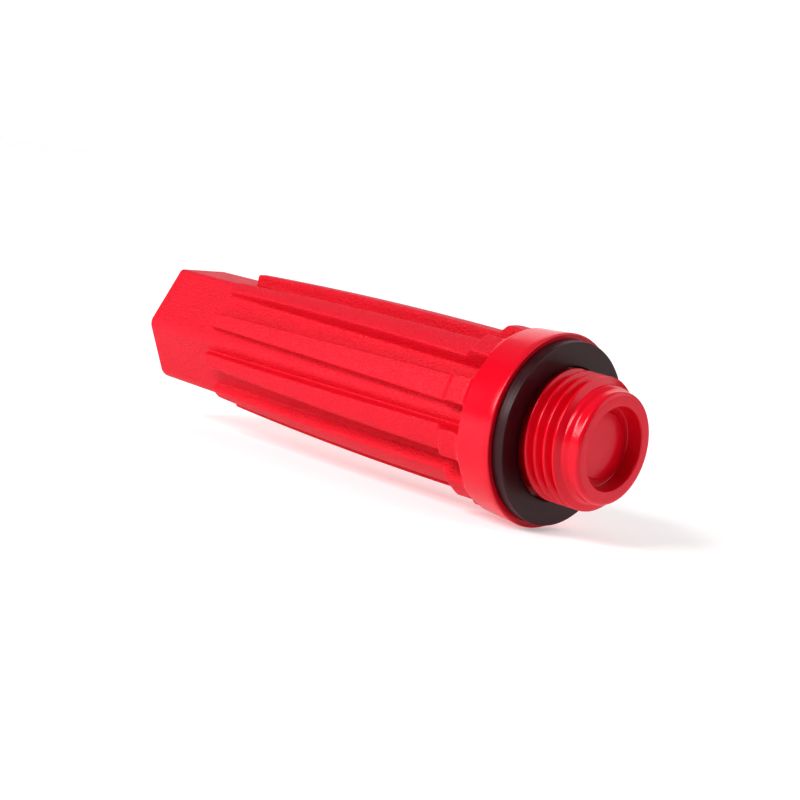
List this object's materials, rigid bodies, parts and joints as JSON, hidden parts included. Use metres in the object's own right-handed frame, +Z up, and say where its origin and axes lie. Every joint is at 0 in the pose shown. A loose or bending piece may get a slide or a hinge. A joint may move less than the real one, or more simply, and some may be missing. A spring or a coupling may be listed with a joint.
{
  "type": "threaded pipe plug",
  "caption": "Long-handled screw plug: hexagon end, ribbed tapering grip, collar, short parallel pipe thread with a shallow nose recess, and a flat sealing washer.",
  "frame": {"origin": "centre of the collar's front face, where the washer seals, on the thread axis", "axes": "+X along the thread axis out of the nose; +Z up, square to two flats of the hexagon; +Y completes the set"},
  "size_m": [0.0908, 0.0308, 0.0308],
  "materials": {
    "red_plastic": "injection-moulded polypropylene, saturated red, glossy collar and nose, finely textured handle",
    "black_rubber": "moulded sheet rubber, brown-black, flat matt faces and a satin rim"
  },
  "bodies": {
    "plug": {"plug_body": "red_plastic"},
    "washer": {"sealing_washer": "black_rubber"}
  },
  "joints": [
    {"name": "washer_slide", "type": "slide", "parent": "plug", "child": "washer", "axis": [1, 0, 0], "range_m": [0, 0.0125]}
  ]
}
